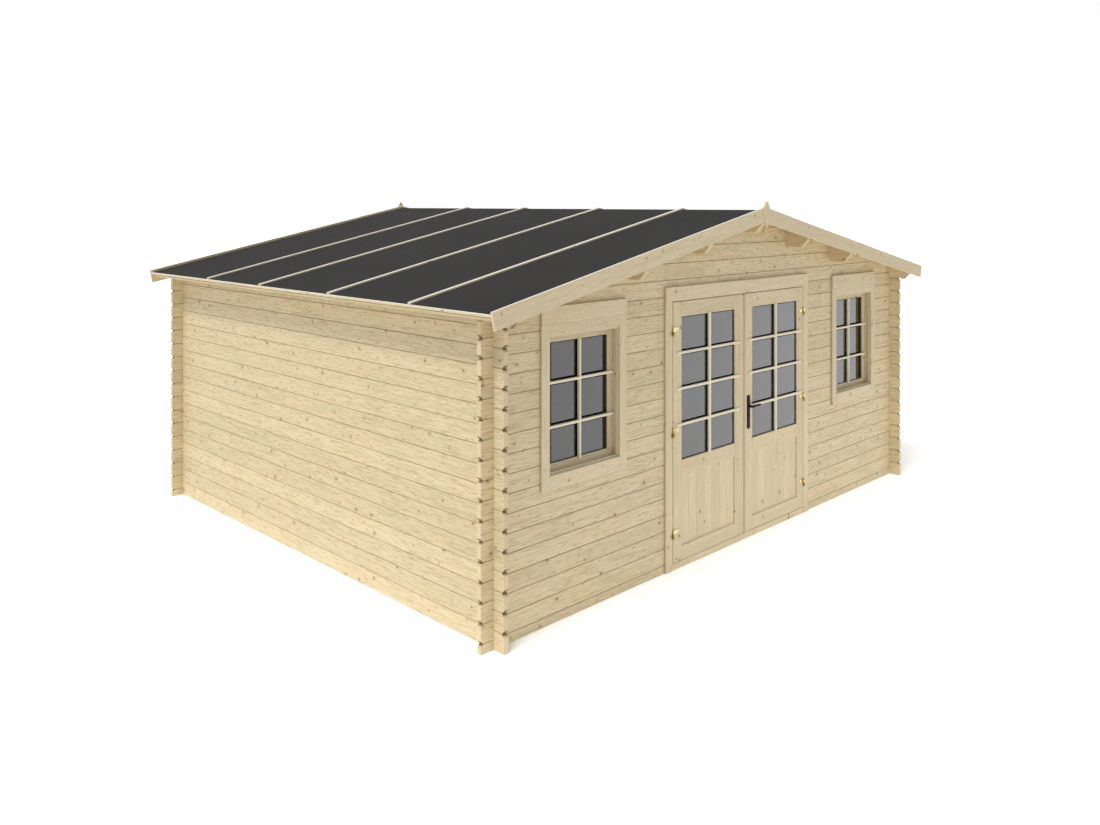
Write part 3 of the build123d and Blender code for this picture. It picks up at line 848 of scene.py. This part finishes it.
def add_lattice(form, low, high, face, bars, levels, laps):
    """Adds the bars over a sheet of glass and the bars behind it; face is the frame's front."""
    front = face - bars.rise
    back = front + bars.depth
    middle = (low.x + high.x) / 2
    clear = shoulder * 2
    for level, (left_lap, right_lap) in zip(levels, laps):
        left, right = low.x - left_lap, high.x + right_lap
        add_bar(form, left, right, low.x + clear, high.x - clear, level, bars.cross, front, face, back)
    foot, head = low.z - bars.foot_lap, high.z + bars.head_lap
    front += upright_setback
    add_bar(form, foot, head, low.z + clear, high.z - clear, middle, bars.upright, front, face, back, True)
    inner_front = high.y + bar_off_glass
    inner_back = inner_front + inner_bar_depth
    inner_low, inner_high = drawn_in(low, high, bead_width)
    for level in levels:
        foot, head = level - bars.cross / 2, level + bars.cross / 2
        add_box(form, (inner_low.x, inner_front, foot), (inner_high.x, inner_back, head))
    left, right = middle - bars.upright / 2, middle + bars.upright / 2
    inner_back -= upright_setback
    add_box(form, (left, inner_front, inner_low.z), (right, inner_back, inner_high.z))


def add_seal(form, low, high, bars):
    """Adds the seal round the edge of a sheet of glass."""
    inner_low, inner_high = drawn_in(low, high, bars.seal_width, seal_height)
    low, high = drawn_in(low, high, shoulder * 2)
    add_ring(form, low, high, inner_low, inner_high, low.y - seal_rise, low.y - gasket_gap)


def add_gaskets_and_shadows(form, low, high, face, bars, levels):
    """Adds the black gaskets between the bars and the glass, from seal to seal, and beside them black strips
    on the glass as painted shadow and reflection.
    """
    back = low.y - gasket_gap
    fronts = (face - bars.rise + bars.depth, back - bar_off_glass)
    margins = (-shoulder, bars.gasket_margin)
    middle = (low.x + high.x) / 2
    inner_low, inner_high = drawn_in(low, high, bars.seal_width, seal_height)
    for level in levels:
        for front, margin in zip(fronts, margins):
            half = bars.cross / 2 + margin
            add_box(form, (inner_low.x, front, level - half), (inner_high.x, back, level + half))
    reach = bars.cross / 2 + bars.gasket_margin + shoulder
    stops = [inner_low.z - reach, *levels, inner_high.z + reach]
    for foot, head in zip(stops, stops[1:]):
        for front, margin in zip(fronts, margins):
            half = bars.upright / 2 + margin
            add_box(form, (middle - half, front, foot + reach), (middle + half, back, head - reach))


for side in ("left", "right"):
    body = f"{side}_door"
    light_low, light_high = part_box(f"{side}_leaf_glass")
    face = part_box(f"{side}_leaf")[0].y
    light_height = light_high.z - light_low.z
    levels = [light_low.z + light_height * pane / door_panes for pane in range(1, door_panes)]
    laps = [(door_bar_lap, door_bar_lap) for level in levels]
    if side == "right":
        laps[0] = (light_low.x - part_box("handle_plate")[1].x - plate_clearance, door_bar_lap)
    bar_form = bmesh.new()
    add_lattice(bar_form, light_low, light_high, face, door_bars, levels, laps)
    plane(f"{side}_leaf_bars", bar_form, bar_spruce, bar_ease, f"{side} bars", body, "door_wood")

    gasket_form = bmesh.new()
    add_seal(gasket_form, light_low, light_high, door_bars)
    add_gaskets_and_shadows(gasket_form, light_low, light_high, face, door_bars, levels)
    ease(gasket_form, gasket_ease)
    dress(f"{side}_leaf_gaskets", gasket_form, rubber_and_shadow, body, "black_metal")


# Meeting strip: a flat spruce lath nailed to the right leaf's edge, at the joint of the leaves.
# A slim bead behind it, pinned to the same edge, narrows the joint to a fine line.
strip_ease = 0.003
joint_bead_width = 0.0055
joint_bead_depth = 0.012
joint_bead_setback = 0.0015
joint_bead_ease = 0.0008
timber("cover_strip", door_spruce, strip_ease, "door_wood", "meeting_strip", body="right_door")

edge_low, edge_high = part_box("right_leaf")
joint_form = bmesh.new()
bead_face = edge_low.y + joint_bead_setback
bead_left = (edge_low.x - joint_bead_width, bead_face, edge_low.z)
bead_right = (edge_low.x, bead_face + joint_bead_depth, edge_high.z)
add_box(joint_form, bead_left, bead_right)
plane("joint_bead", joint_form, door_spruce, joint_bead_ease, "joint bead", "right_door", "door_wood")


# Hinges: brass lift-off hinges, a fixed knuckle below and the leaf's brighter knuckle above, each
# with a flat wing that is screwed to the casing or to the stile. Rounded caps close the barrel. The
# fixed halves are a darker brass, as painted shade.
hinge_radius = 0.007
knuckle_ease = 0.0008
knuckle_rim = 0.96
cap_rise = 0.003
cap_profile = ((0.0, 1.0), (0.6, 0.8), (1.0, 0.35))
wing_thickness = 0.003
wing_margin = 0.001
wing_ease = 0.0008
wide_wing = 0.04
wide_wing_screws = (0.55, 0.84)
narrow_wing_screws = (0.68,)
screw_radius = 0.0042
screw_rise = 0.0006
screw_profile = ((-1.0, 1.0), (0.6, 0.9), (1.4, 0.5))
screw_sides = 14
brass = worn_finish(
    "polished_brass", bright=(0.82, 0.70, 0.38, 1), dull=(0.30, 0.22, 0.07, 1), roughness=0.22
)
shade_brass = worn_finish(
    "brass_in_painted_shade", bright=(0.42, 0.34, 0.13, 1), dull=(0.17, 0.13, 0.04, 1), roughness=0.30
)


def add_screw(form, place, outward):
    """Adds a raised screw head."""
    profile = [(screw_rise * up, screw_radius * out) for up, out in screw_profile]
    add_turning(form, place, outward, profile, screw_sides)


def add_knuckle(form, low, high, barrel_x, cap_below):
    """Adds a knuckle with a rounded cap at its free end."""
    rim = hinge_radius * knuckle_rim
    profile = [(low.z, rim), (low.z + knuckle_ease, hinge_radius)]
    profile += [(high.z - knuckle_ease, hinge_radius), (high.z, rim)]
    if cap_below:
        profile[:1] = [(low.z - cap_rise * up, hinge_radius * out) for up, out in cap_profile[::-1]]
    else:
        profile[-1:] = [(high.z + cap_rise * up, hinge_radius * out) for up, out in cap_profile]
    add_turning(form, (barrel_x, low.y + hinge_radius, 0), (0, 0, 1), profile)


hinges = {"fixed_hinges": "house", "left_leaf_hinges": "left_door", "right_leaf_hinges": "right_door"}
for node, body in hinges.items():
    fixed = node == "fixed_hinges"
    hinge_form = bmesh.new()
    halves = []
    for low, high in boards_of(node):
        at_right = (low.x + high.x < 0) == fixed
        barrel_x = high.x - hinge_radius if at_right else low.x + hinge_radius
        wing_end = low.x if at_right else high.x
        wing_face = high.y - wing_thickness
        left, right = sorted((barrel_x, wing_end))
        add_box(hinge_form, (left, wing_face, low.z + wing_margin), (right, high.y, high.z - wing_margin))
        halves.append((low, high, barrel_x, wing_end - barrel_x, wing_face))
    ease(hinge_form, wing_ease)
    for low, high, barrel_x, reach, wing_face in halves:
        add_knuckle(hinge_form, low, high, barrel_x, fixed)
        for share in wide_wing_screws if abs(reach) > wide_wing else narrow_wing_screws:
            screw = (barrel_x + reach * share, wing_face, (low.z + high.z) / 2)
            add_screw(hinge_form, screw, (0, -1, 0))
    face_out(hinge_form)
    smooth(dress(f"{node}_brass", hinge_form, shade_brass if fixed else brass, body, "brass", node))


# Handle plate: a long black plate with rounded ends, screwed to the meeting stile, with a keyhole
# below the lever. Powder coated, slightly worn.
plate_ease = 0.002
key_radius = 0.0055
key_drop = 0.072
rim_rise = 0.0012
rim_root = 0.001
plate_screw_inset = 0.016
coated = worn_finish(
    "black_coating",
    bright=(0.013, 0.0095, 0.0095, 1),
    dull=(0.027, 0.020, 0.020, 1),
    roughness=0.42,
    metallic=0.0,
    grain=90.0,
    shine=0.08,
)

plate_low, plate_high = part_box("handle_plate")
lever_low, lever_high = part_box("handle_lever")
plate_x = (plate_low.x + plate_high.x) / 2
lever_z = (lever_low.z + lever_high.z) / 2
plate_form = solids_of("handle_plate")
ease(plate_form, plate_ease)
for place in (plate_low.z + plate_screw_inset, plate_high.z - plate_screw_inset):
    add_screw(plate_form, (plate_x, plate_low.y, place), (0, -1, 0))
key_rim = [(-rim_root, key_radius * 1.7), (rim_rise, key_radius * 1.6)]
key_rim += [(rim_rise, key_radius), (-rim_root, key_radius * 0.9)]
add_turning(plate_form, (plate_x, plate_low.y, lever_z - key_drop), (0, -1, 0), key_rim)
face_out(plate_form)
smooth(dress("long_plate", plate_form, coated, "right_door", "black_metal", "handle_plate"))


# Lever: a round neck out of the plate that bends into a flat tapered grip.
# It turns down on its spindle and a spring brings it back.
neck_radius = 0.009
bend_radius = 0.012
bend_steps = 8
grip_half_height = 0.010
grip_half_depth = 0.0065
grip_taper = 0.72
grip_tips = {0.25: 1.0, 0.5: 1.0, 0.75: 1.0, 0.9: 0.96, 0.97: 0.80, 1.0: 0.45}
lever_sides = 16
lever_form = bmesh.new()
grip_y = lever_low.y + grip_half_depth
bend_centre = Vector((plate_x + bend_radius, grip_y + bend_radius, lever_z))
path = [(Vector((plate_x, lever_high.y, lever_z)), Vector((0, -1, 0)), neck_radius, neck_radius)]
for index in range(bend_steps + 1):
    share = index / bend_steps
    angle = math.pi / 2 * share
    place = bend_centre - Vector((math.cos(angle), math.sin(angle), 0)) * bend_radius
    heading = Vector((math.sin(angle), -math.cos(angle), 0))
    tall = neck_radius + (grip_half_height - neck_radius) * share
    deep = neck_radius + (grip_half_depth - neck_radius) * share
    path.append((place, heading, tall, deep))
grip_start = path[-1][0].x
grip_length = lever_high.x - grip_start
for share, tip in grip_tips.items():
    size = (1 - (1 - grip_taper) * share) * tip
    place = Vector((grip_start + grip_length * share, grip_y, lever_z))
    path.append((place, Vector((1, 0, 0)), grip_half_height * size, grip_half_depth * size))
rings = []
for place, heading, tall, deep in path:
    sideways = heading.cross(Vector((0, 0, 1)))
    ring = []
    for index in range(lever_sides):
        angle = 2 * math.pi * index / lever_sides
        spoke = Vector((0, 0, tall)) * math.sin(angle) + sideways * deep * math.cos(angle)
        ring.append(lever_form.verts.new(place + spoke))
    rings.append(ring)
close_round(lever_form, rings)
face_out(lever_form)
smooth(dress("lever_grip", lever_form, coated, "lever", "black_metal", "handle_lever"), 60)


# Windows: casing boards on the logs outside, a lining through the wall with a bead at its front, and
# a fixed sash with jointed, stepped rails. Brown rubber seals the glass behind its beads; its broad
# band at each side of the glass is painted reflection of the shaded sash sides. A lattice of bars
# lies over the sash, with black strips beside the bars as painted shadow and reflection.
# Painted reflection: the wide seal at the sides of each pane stands for the shaded sash sides seen in the
# glass.
window_bars = Bars(
    cross=0.015, upright=0.015, rise=0.010, depth=0.021,
    foot_lap=0.010, head_lap=0.002, gasket_margin=0.012, seal_width=0.034,
)
window_bar_lap = 0.040
window_bar_levels = (0.271, 0.540)
window_ease = 0.0022
moulding_width = 0.016
moulding_setback = 0.005
reveal_bead_width = 0.010
reveal_bead_depth = 0.012
# Painted shade: the lining and sash are a darker, greyer spruce than the casing, for the shade in the reveal.
reveal_shade_spruce = spruce(
    "reveal_shade_spruce", pale=(0.740, 0.637, 0.436, 1), brown=(0.598, 0.480, 0.297, 1), painted_top_light=0.9
)
brown_rubber_and_reflection = worn_finish(
    "brown_rubber_and_reflection", bright=(0.030, 0.023, 0.015, 1), dull=(0.045, 0.035, 0.024, 1), **rubber_finish
)
for side in ("left", "right"):
    window = f"{side}_window"
    case(window)

    lining_low, lining_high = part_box(f"{side}_window_frame")
    sash_low, sash_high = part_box(f"{side}_window_sash")
    pane_low, pane_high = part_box(f"{side}_window_glass")
    lining_form = bmesh.new()
    add_ring(lining_form, lining_low, lining_high, sash_low, sash_high, lining_low.y, lining_high.y)
    bead_low, bead_high = drawn_in(sash_low, sash_high, reveal_bead_width)
    bead_back = lining_low.y + reveal_bead_depth
    add_ring(lining_form, sash_low, sash_high, bead_low, bead_high, lining_low.y, bead_back)
    named = (f"{side} lining", "house", "frame_wood", f"{window}_frame")
    plane(f"{window}_lining", lining_form, reveal_shade_spruce, window_ease, *named)

    sash_form = bmesh.new()
    step_low, step_high = drawn_in(pane_low, pane_high, -moulding_width)
    step_face = sash_low.y + moulding_setback
    add_ring(sash_form, sash_low, sash_high, step_low, step_high, sash_low.y, sash_high.y)
    add_ring(sash_form, step_low, step_high, pane_low, pane_high, step_face, sash_high.y)
    bead_low, bead_high = drawn_in(pane_low, pane_high, bead_width)
    bead_back = sash_high.y - bead_setback
    add_ring(sash_form, pane_low, pane_high, bead_low, bead_high, pane_high.y, bead_back)
    named = (f"{side} sash", "house", "frame_wood", f"{window}_sash")
    plane(f"{window}_sash_rails", sash_form, reveal_shade_spruce, window_ease, *named)

    bar_form = bmesh.new()
    levels = [sash_low.z + level for level in window_bar_levels]
    laps = [(window_bar_lap, window_bar_lap) for level in levels]
    add_lattice(bar_form, pane_low, pane_high, sash_low.y, window_bars, levels, laps)
    plane(f"{window}_bars", bar_form, bar_spruce, bar_ease, f"{side} lattice", "house", "frame_wood")

    gasket_form = bmesh.new()
    add_gaskets_and_shadows(gasket_form, pane_low, pane_high, sash_low.y, window_bars, levels)
    ease(gasket_form, gasket_ease)
    dress(f"{window}_gaskets", gasket_form, rubber_and_shadow, "house", "black_metal")

    seal_form = bmesh.new()
    add_seal(seal_form, pane_low, pane_high, window_bars)
    ease(seal_form, gasket_ease)
    dress(f"{window}_seal", seal_form, brown_rubber_and_reflection, "house", "black_metal")


# Ground: a plain white studio floor that takes the soft shadow of the house, deepest to the right.
# The shadow is partly real and partly painted: its glow is dimmed where the house shelters it from the left.
# It glows to the eye and in the glass. As a lamp it is strong near the house alone, most at the
# right, so that the walls grow paler toward their feet.
ground_half = 150.0
ground_white = (0.90, 0.90, 0.90, 1)
ground_shade = (0.86, 0.86, 0.86, 1)
ground_glow = 0.69
near_lamp = 0.72
far_lamp = 0.02
lamp_reach = (1.0, 3.2)
lamp_left, lamp_right = 0.72, 1.05
shade_reach = 3.0
shade_from = (-0.9, -0.3, 0.4)
shade_samples = 10
shade_span = (0.50, 0.74)
ground_mesh = bpy.data.meshes.new("studio_floor")
corners = [(x * ground_half, y * ground_half, cad_low.z) for x, y in ((-1, -1), (1, -1), (1, 1), (-1, 1))]
ground_mesh.from_pydata(corners, [], [(0, 1, 2, 3)])
ground = stand("studio_floor", ground_mesh)


def to_the_eye(tree, hidden, shown):
    """One strength for the camera, mirrors and glass, another for the light that falls on the house."""
    ray = put(tree, "LightPath")
    seen = reckon(tree, "MAXIMUM", ray.outputs["Is Camera Ray"], ray.outputs["Is Glossy Ray"])
    seen = reckon(tree, "MAXIMUM", seen, ray.outputs["Is Transmission Ray"])
    return fade(tree, seen, 0.0, 1.0, hidden, shown)


paper, tree = new_material("white_paper")
coordinate = places_on(tree)
mottle = noise(tree, coordinate, 0.3, 1.0)
place = put(tree, "SeparateXYZ", Vector=coordinate)
house_half = {"X": wall_high.x, "Y": -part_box("front_wall_left")[0].y}
squares = []
for axis, half in house_half.items():
    beyond = reckon(tree, "SUBTRACT", reckon(tree, "ABSOLUTE", place.outputs[axis]), half)
    squares.append(reckon(tree, "POWER", reckon(tree, "MAXIMUM", beyond, 0.0), 2.0))
from_house = reckon(tree, "SQRT", reckon(tree, "ADD", *squares))
to_right = fade(tree, place.outputs["X"], -house_half["X"], house_half["X"], lamp_left, lamp_right)
lamp = reckon(tree, "MULTIPLY", fade(tree, from_house, *lamp_reach, near_lamp, far_lamp), to_right)
# Painted shadow: the glow to the eye is dimmed where the house blocks the floor's view to the left.
left_light = put(tree, "CombineXYZ", **dict(zip("XYZ", shade_from))).outputs[0]
shelter = put(tree, "AmbientOcclusion", {"samples": shade_samples}, Distance=shade_reach, Normal=left_light)
shaded_glow = fade(tree, shelter.outputs["AO"], *shade_span, 0.0, ground_glow)
coat(
    tree,
    Base_Color=tint(tree, fade(tree, mottle, 0.3, 0.7), ground_white, ground_shade),
    Emission_Color=(1, 1, 1, 1),
    Emission_Strength=to_the_eye(tree, lamp, shaded_glow),
    Roughness=0.95,
    Specular_IOR_Level=0.0,
)
ground_mesh.materials.append(paper)
ground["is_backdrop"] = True


# Light: an even pale sky all round and a broad soft sun from the left, so that the side wall is
# brighter than the gable front and the shadows are faint.
sky_strength = 0.47
sun_strength = 1.57
sun_height = math.radians(60)
sun_swing = math.radians(4)
sun_spread = math.radians(9)
world = bpy.data.worlds.new("studio")
scene.world = world
world.use_nodes = True
tree = world.node_tree
tree.nodes["Background"].inputs["Color"].default_value = (1, 1, 1, 1)
join(tree, tree.nodes["Background"].inputs["Strength"], to_the_eye(tree, sky_strength, 1.0))
sun_lamp = bpy.data.lights.new("sun", "SUN")
sun_lamp.energy = sun_strength
sun_lamp.angle = sun_spread
sun = stand("sun", sun_lamp)
sun_reach = math.cos(sun_height)
sun_x, sun_y = -sun_reach * math.cos(sun_swing), sun_reach * math.sin(sun_swing)
toward_sun = Vector((sun_x, sun_y, math.sin(sun_height)))
sun.rotation_euler = toward_sun.to_track_quat("Z", "Y").to_euler()


# Camera: level, at the photograph's place off the front left corner, with the lens dropped so that
# the horizon lies high in the frame.
photo_width, photo_height = 1100, 825
focal_pixels = 944.6
horizon_row = 203.6
sensor_width = 36.0
camera_place = (-6.034, -6.034, 2.520)
camera_turn = -45.03
camera_data = bpy.data.cameras.new("camera")
camera_data.sensor_fit = "HORIZONTAL"
camera_data.sensor_width = sensor_width
camera_data.lens = sensor_width * focal_pixels / photo_width
camera_data.shift_y = -(photo_height / 2 - horizon_row) / photo_width
camera_data.clip_end = 500
camera = stand("camera", camera_data)
camera.location = camera_place
camera.rotation_euler = (math.radians(90), 0, math.radians(camera_turn))
scene.camera = camera


# Sizes: the dressed model's box, as well as the imported model's box taken at the start. Both are in metres.
low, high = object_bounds()
